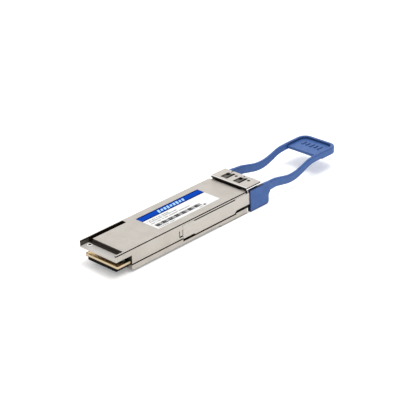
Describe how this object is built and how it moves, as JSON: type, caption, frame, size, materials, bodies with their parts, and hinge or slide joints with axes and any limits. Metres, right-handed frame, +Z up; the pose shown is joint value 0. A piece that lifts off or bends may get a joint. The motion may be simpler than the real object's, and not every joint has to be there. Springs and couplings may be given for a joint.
{
  "type": "optical transceiver module",
  "caption": "Slim metal pluggable optical module with a card-edge end, a duplex fibre socket end, a sliding latch and a blue looped pull tab.",
  "frame": {"origin": "on the bottom face of the body, on the centre line, half way along the length that sits in a cage", "axes": "+X toward the fibre ports and the pull tab, +Y to the left side seen from the card end, +Z up toward the heat-sink face"},
  "size_m": [0.1181, 0.019, 0.0102],
  "materials": {
    "housing_metal": "nickel-plated die casting, fine bead-blasted satin",
    "spring_steel": "stamped stainless steel",
    "screw_steel": "turned steel",
    "barrel_steel": "turned stainless steel",
    "gold_plate": "gold plate",
    "board_laminate": "green solder mask on glass-epoxy laminate",
    "black_plastic": "moulded black polymer",
    "chip_plastic": "moulded epoxy",
    "zirconia": "polished white ceramic",
    "flex_film": "amber polyimide film",
    "soft_pad": "soft silicone",
    "tab_blue": "blue overmoulded polymer, fine texture",
    "label_film": "printed polyester film"
  },
  "bodies": {
    "module": {"amplifier_chip": "chip_plastic", "base_shell": "housing_metal", "card_guard": "black_plastic", "ceiling_absorber": "soft_pad", "circuit_card": "board_laminate", "clock_crystal": "screw_steel", "control_chip": "chip_plastic", "cover_screw_1": "screw_steel", "cover_screw_2": "screw_steel", "cover_screw_3": "screw_steel", "cover_screw_4": "screw_steel", "cover_shell": "housing_metal", "label": "label_film", "laser_driver_chip": "chip_plastic", "lc_receptacle": "black_plastic", "left_gasket": "soft_pad", "left_return_spring": "spring_steel", "lower_contacts": "gold_plate", "nose_cap": "spring_steel", "optics_clamp": "spring_steel", "power_coil_front": "chip_plastic", "power_coil_rear": "chip_plastic", "receive_barrel": "barrel_steel", "receive_can": "gold_plate", "receive_flex": "flex_film", "receive_sleeve": "zirconia", "right_gasket": "soft_pad", "right_return_spring": "spring_steel", "signal_chip": "chip_plastic", "thermal_pad": "soft_pad", "transmit_barrel": "barrel_steel", "transmit_can": "gold_plate", "transmit_flex": "flex_film", "transmit_sleeve": "zirconia", "upper_contacts": "gold_plate"},
    "latch": {"latch_slider": "spring_steel", "pull_tab": "tab_blue"}
  },
  "joints": [
    {"name": "latch_slide", "type": "slide", "parent": "module", "child": "latch", "axis": [1, 0, 0], "range_m": [0, 0.002], "stiffness_N_per_m": 600, "deforming": ["left_return_spring", "right_return_spring"]}
  ]
}
